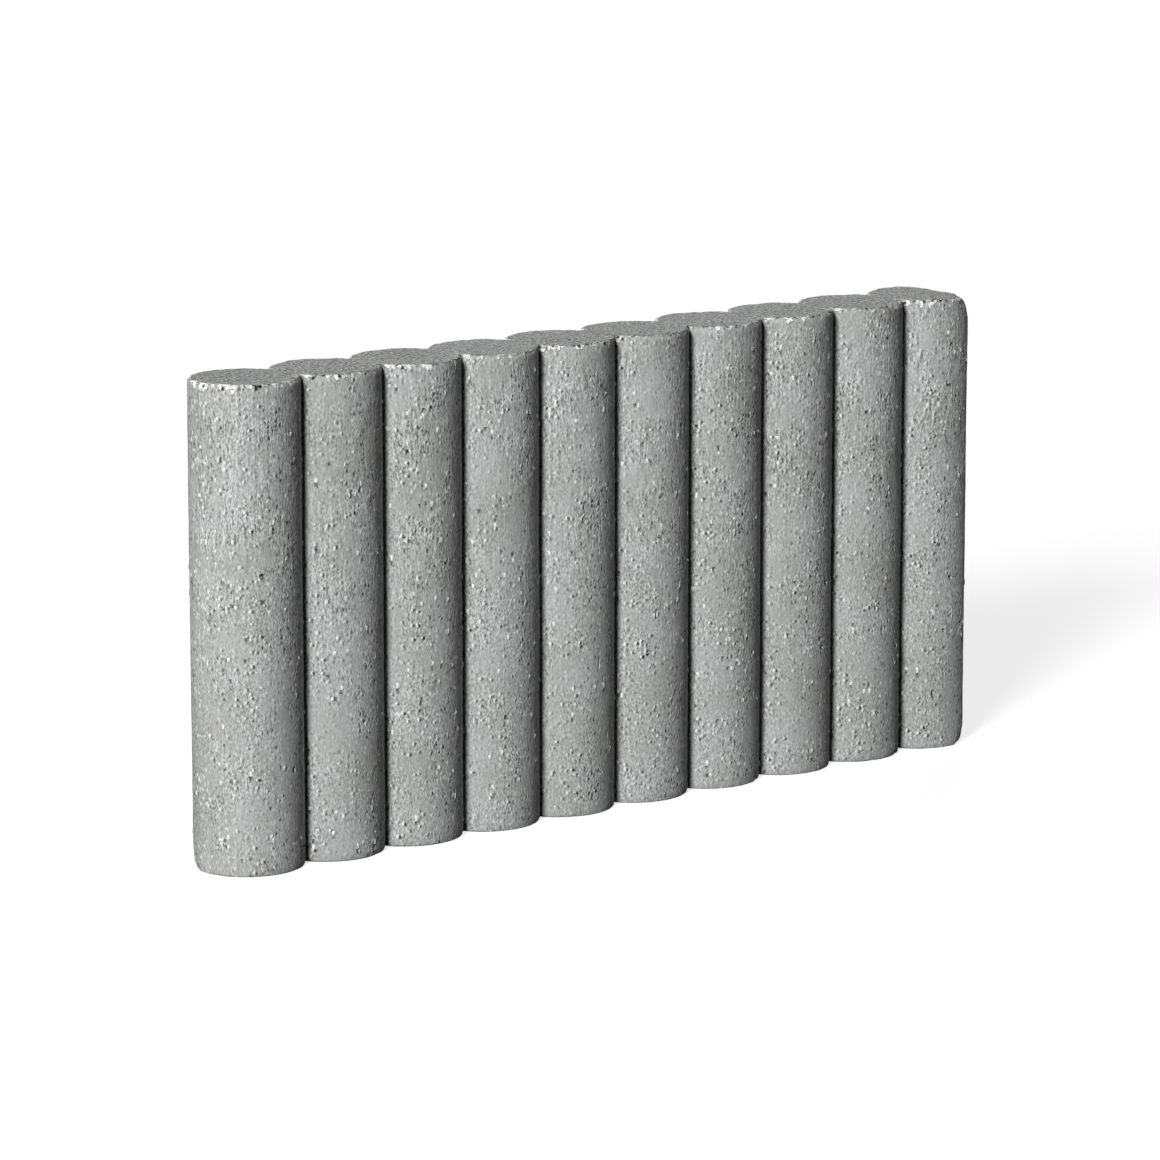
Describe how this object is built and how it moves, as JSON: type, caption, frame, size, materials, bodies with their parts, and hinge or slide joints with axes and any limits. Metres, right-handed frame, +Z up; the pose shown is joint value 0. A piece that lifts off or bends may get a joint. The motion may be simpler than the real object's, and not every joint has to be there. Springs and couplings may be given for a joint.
{
  "type": "concrete palisade kerb stone",
  "caption": "Upright concrete kerb stone cast as a row of joined round columns, with a round nose at one end and a flat face at the other, for edging beds, lawns and paths.",
  "frame": {"origin": "middle of the base", "axes": "+X along the row from the round nose to the flat end, +Y through the thickness to the back, +Z up"},
  "size_m": [0.4999, 0.056, 0.25],
  "materials": {
    "concrete": "bare dry-cast concrete, mid grey, fine pits and drag marks"
  },
  "bodies": {
    "root": {"kerb_stone": "concrete"}
  },
  "joints": []
}
